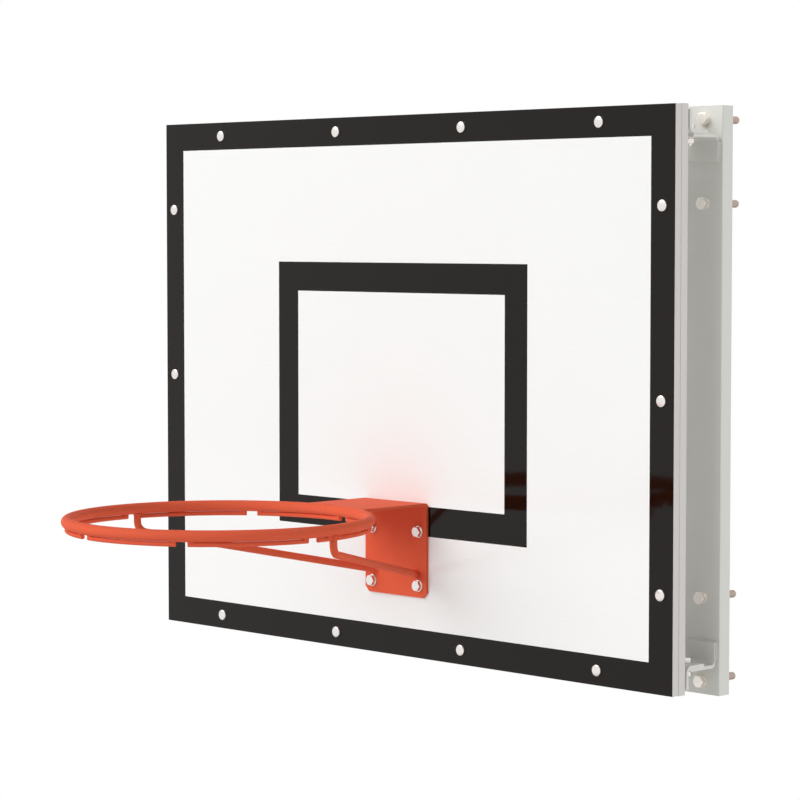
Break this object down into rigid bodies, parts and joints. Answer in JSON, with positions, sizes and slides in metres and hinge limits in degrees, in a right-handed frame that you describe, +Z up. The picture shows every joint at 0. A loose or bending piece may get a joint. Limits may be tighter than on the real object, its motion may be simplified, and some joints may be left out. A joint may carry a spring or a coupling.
{
  "type": "basketball backboard",
  "caption": "Wall-mounted basketball goal: white board with black border and target square, orange-red fixed hoop with bent braces, and steel rails that bolt it to a wall.",
  "frame": {"origin": "on the wall plane (the rails' rear edges), in the middle of the wall bolts", "axes": "+X is the right of someone who faces the board, +Y points into the wall, so the board faces -Y, and +Z is up"},
  "size_m": [1.201, 0.8265, 0.912],
  "materials": {
    "board_face": "smooth white laminate with printed black border and target, gloss",
    "frame_grey": "light grey powder coat, satin",
    "galvanised_steel": "light grey coat over galvanised steel, matt",
    "bright_zinc": "bright zinc plated, semi-polished",
    "hoop_coat": "orange-red powder coat, semi-gloss"
  },
  "bodies": {
    "root": {"board_panel": "board_face", "frame_top_rail": "frame_grey", "frame_bottom_rail": "frame_grey", "frame_left_stile": "frame_grey", "frame_right_stile": "frame_grey", "left_hoop_upright": "frame_grey", "right_hoop_upright": "frame_grey", "upper_board_angle": "galvanised_steel", "lower_board_angle": "galvanised_steel", "left_wall_rail": "galvanised_steel", "right_wall_rail": "galvanised_steel", "left_upper_bracket": "galvanised_steel", "right_upper_bracket": "galvanised_steel", "left_lower_bracket": "galvanised_steel", "right_lower_bracket": "galvanised_steel", "angle_screws": "bright_zinc", "frame_screws": "bright_zinc", "angle_spacers": "bright_zinc", "screw_washers": "bright_zinc", "screw_nuts": "bright_zinc", "clamp_bolts": "bright_zinc", "clamp_washers": "bright_zinc", "clamp_nuts": "bright_zinc", "wall_bolts": "bright_zinc", "wall_washers": "bright_zinc", "hoop_bolts": "bright_zinc", "hoop_bolt_washers": "bright_zinc", "hoop_nut_washers": "bright_zinc", "hoop_nuts": "bright_zinc", "hoop_plate": "hoop_coat", "hoop_ring": "hoop_coat", "left_hoop_brace": "hoop_coat", "right_hoop_brace": "hoop_coat", "net_rod_1": "hoop_coat", "net_rod_2": "hoop_coat", "net_rod_3": "hoop_coat", "net_rod_4": "hoop_coat", "net_rod_5": "hoop_coat", "net_rod_6": "hoop_coat", "net_rod_7": "hoop_coat", "net_rod_8": "hoop_coat", "net_rod_9": "hoop_coat"}
  },
  "joints": []
}
